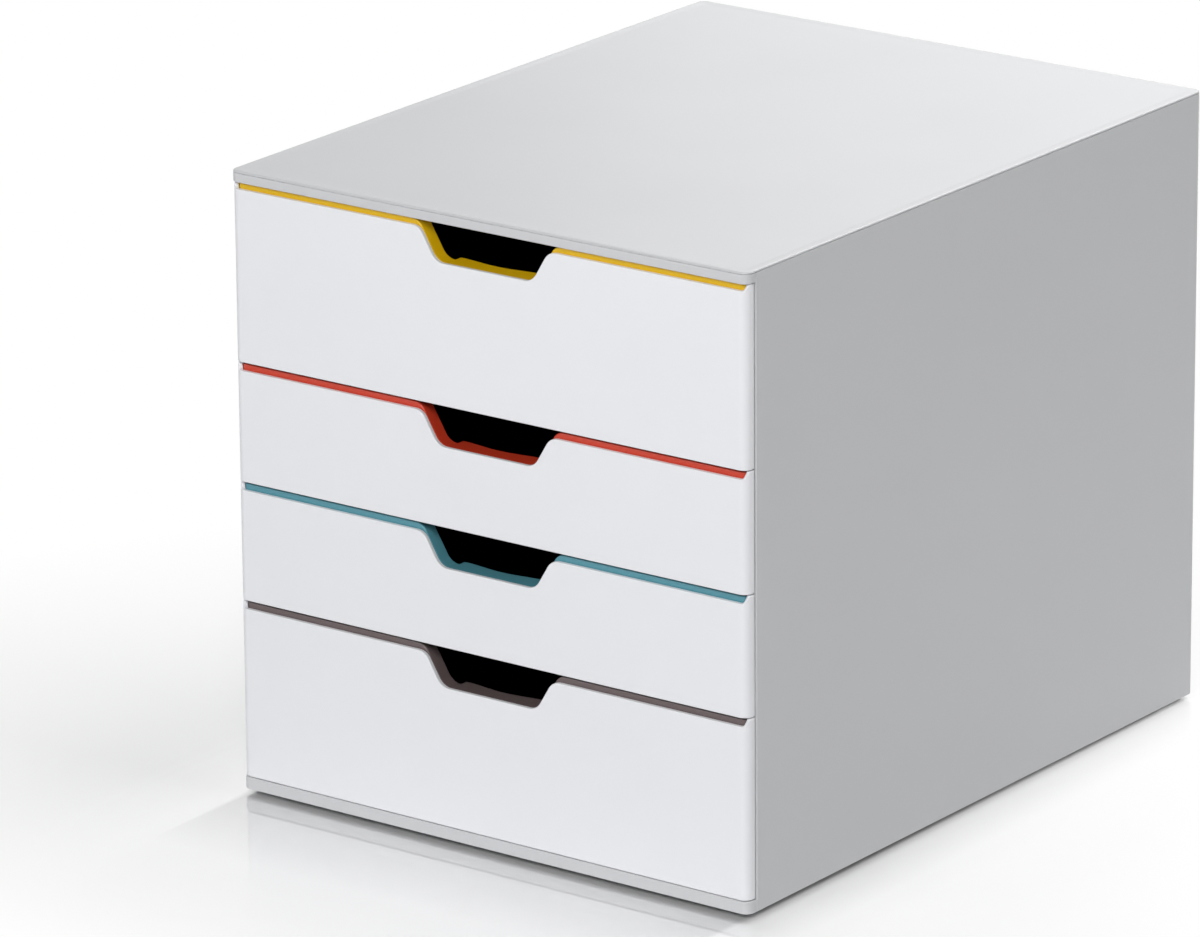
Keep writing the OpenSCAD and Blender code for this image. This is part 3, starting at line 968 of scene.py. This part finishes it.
# ---- Stage, lights and camera ----


STAGE_REACH = 6.0
PAINTED_FLOOR_GLOW = 0.16  # what the floor gives off to the camera alone: painted light that lifts the floor round the object
GLOW_FRONT = 0.07  # the distance over which that painted glow rises before the object
CONTACT = 0.004  # width of the band under the object's edges that gets no painted glow, so that its rendered shade shows there as a dark line
MIRROR_SHARE = 0.5  # of the floor's mirror image beside the object
MIRROR_FRONT = 0.14  # how far it reaches in front of the object before it has faded
MIRROR_SIDE = 0.05  # and beside it
FADE_START = 0.08  # how far beside and behind the object's front the floor starts to fade to white, painted light that covers its shade
FADE_SIDE = 0.3  # the distances over which it fades
FADE_FRONT = 0.2
FADE_REAR = 0.5
FADE_RIGHT = 0.03  # the distance over which it fades close to the object's right side, where the painted white covers most of the object's shadow
FADE_SHARE = 0.6  # and how far it fades there
FLOOR_COLOUR = (0.86, 0.86, 0.86, 1.0)
FLOOR_ROUGHNESS = 0.3
MIRROR_ROUGHNESS = 0.04
WORLD_LIGHT = 0.1
FRONT_TINT = (0.97, 0.98, 1.0)
MIDDLE = (0, 0, 0.15)  # where the lamps point

CAMERA_AZIMUTH = 36.571  # degrees from the front towards the right
CAMERA_ELEVATION = 17.94
CAMERA_ROLL = -0.447
CAMERA_PLACE = (2.1277, -2.96245, 1.31368)
CAMERA_SENSOR = 36.0  # in millimetres, as the lens is
CAMERA_LENS = 254.01
CAMERA_REACH = 50.0


def white_stage():
    """A glossy white floor with the object's shadow, and a mirror image that fades away from the object; to
    the camera it has a painted glow and fades to painted white round the object, which covers much of that
    shadow at its right.
    """
    material = bpy.data.materials.new("stage_floor")
    shader = Shader(material)
    place = shader.node("ShaderNodeTexCoord", {}, {}, "Object")
    x, y = (shader.node("ShaderNodeSeparateXYZ", {}, {"Vector": place}, name) for name in "XY")

    def past(distance, reach):
        """Rises from 0 to 1 over a reach."""
        return shader.clamped(distance * (1 / reach))

    beside = 1 - past(shader.size(x) - HALF, MIRROR_SIDE)
    before = 1 - past(shader.size(y) - BACK, MIRROR_FRONT)
    # Painted light: the camera-only glow is kept off the floor under the object, so its rendered shade
    # shows there as a dark line, and it rises in front of the object.
    beyond = past(shader.size(x) - (HALF - CONTACT), CONTACT) + past(y - (BACK - CONTACT), CONTACT)
    outside = shader.clamped(beyond + past(FACE - y, GLOW_FRONT))
    # Painted light: away from the object the floor turns white to the camera, soonest at its right side,
    # which paints out the object's shadow there.
    aside = past(shader.size(x) - (HALF + FADE_START), FADE_SIDE)
    sideways = past(x - HALF, FADE_RIGHT) * FADE_SHARE + aside
    lengthways = past((FACE - CONTACT) - y, FADE_FRONT) + past(y - (FACE + FADE_START), FADE_REAR)
    away = shader.clamped(sideways + lengthways) * outside
    finish = {"Base Color": FLOOR_COLOUR, "Roughness": FLOOR_ROUGHNESS}
    sheet = shader.node("ShaderNodeBsdfPrincipled", {}, finish, "BSDF")
    mirror = shader.node("ShaderNodeBsdfGlossy", {}, {"Roughness": MIRROR_ROUGHNESS}, "BSDF")
    polished = shader.node(
        "ShaderNodeMixShader", {}, {"Fac": beside * before * MIRROR_SHARE, 1: sheet, 2: mirror}, "Shader"
    )
    glow = shader.node("ShaderNodeEmission", {}, {"Strength": PAINTED_FLOOR_GLOW}, "Emission")
    white = shader.node("ShaderNodeEmission", {}, {"Strength": 1.0}, "Emission")
    seen = shader.node("ShaderNodeLightPath", {}, {}, "Is Camera Ray")
    near = shader.node("ShaderNodeMixShader", {}, {"Fac": outside, 2: glow}, "Shader")
    lifted = shader.node("ShaderNodeAddShader", {}, {0: polished, 1: near}, "Shader")
    shown = shader.node("ShaderNodeMixShader", {}, {"Fac": away, 1: lifted, 2: white}, "Shader")
    shader.surface(shader.node("ShaderNodeMixShader", {}, {"Fac": seen, 1: polished, 2: shown}, "Shader"))
    bm = bmesh.new()
    corners = box_loop(-STAGE_REACH, STAGE_REACH, -STAGE_REACH, STAGE_REACH)
    bm.faces.new([bm.verts.new((x, y, 0)) for x, y in corners])
    mesh = bpy.data.meshes.new("stage_floor")
    bm.to_mesh(mesh)
    bm.free()
    mesh.materials.append(material)
    floor = bpy.data.objects.new("stage_floor", mesh)
    bpy.context.scene.collection.objects.link(floor)


def pale_world():
    """White where it is seen, and a plain level of light elsewhere."""
    world = bpy.data.worlds.new("pale_studio")
    bpy.context.scene.world = world
    shader = Shader(world)
    kinds = ("Is Camera Ray", "Is Glossy Ray", "Is Transmission Ray")
    paths = [shader.node("ShaderNodeLightPath", {}, {}, kind) for kind in kinds]
    seen = shader.clamped(paths[0] + paths[1] + paths[2])
    white = (1.0, 1.0, 1.0, 1.0)
    light, shown = (
        shader.node("ShaderNodeBackground", {}, {"Color": white, "Strength": strength}, "Background")
        for strength in (WORLD_LIGHT, 1.0)
    )
    shader.surface(shader.node("ShaderNodeMixShader", {}, {"Fac": seen, 1: light, 2: shown}, "Shader"))


def softbox(name, place, size, power, colour=(1.0, 1.0, 1.0)):
    """A rectangular area light that points at the object's middle."""
    light = bpy.data.lights.new(name, "AREA")
    light.shape = "RECTANGLE"
    light.size, light.size_y = size
    light.energy = power
    light.color = colour
    lamp = bpy.data.objects.new(name, light)
    lamp.location = place
    lamp.rotation_mode = "QUATERNION"
    lamp.rotation_quaternion = (Vector(MIDDLE) - Vector(place)).to_track_quat("-Z", "Y")
    bpy.context.scene.collection.objects.link(lamp)


def camera():
    """A long lens at the photograph's angle, by its azimuth, elevation, roll and place."""
    angles = (CAMERA_AZIMUTH, CAMERA_ELEVATION, CAMERA_ROLL)
    azimuth, elevation, roll = (math.radians(a) for a in angles)
    out = math.cos(elevation)
    back = Vector((math.sin(azimuth) * out, -math.cos(azimuth) * out, math.sin(elevation)))
    level = Vector((math.cos(azimuth), math.sin(azimuth), 0))
    upright = back.cross(level)
    right = level * math.cos(roll) + upright * math.sin(roll)
    up = back.cross(right)
    data = bpy.data.cameras.new("camera")
    data.sensor_width = CAMERA_SENSOR
    data.lens = CAMERA_LENS
    data.clip_end = CAMERA_REACH
    eye = bpy.data.objects.new("camera", data)
    turn = Matrix((right, up, back)).transposed().to_4x4()
    eye.matrix_world = Matrix.Translation(CAMERA_PLACE) @ turn
    bpy.context.scene.collection.objects.link(eye)
    bpy.context.scene.camera = eye


white_stage()
pale_world()
softbox("key_softbox", (0.9, -2.0, 1.8), (1.0, 1.0), 37.0)
softbox("front_softbox", (-1.2, -2.4, 0.9), (1.4, 1.2), 13.2, FRONT_TINT)
softbox("upper_softbox", (0.1, 0.9, 1.6), (1.2, 0.8), 1.7)
softbox("rear_softbox", (0.15, 0.75, 1.05), (1.0, 0.5), 7.0)
softbox("low_rear_softbox", (-0.25, 1.1, 0.85), (1.2, 0.5), 2.1)
softbox("right_softbox", (1.7, 0.1, 0.45), (1.0, 0.6), 1.7)
camera()
bpy.context.scene.view_settings.view_transform = "Standard"
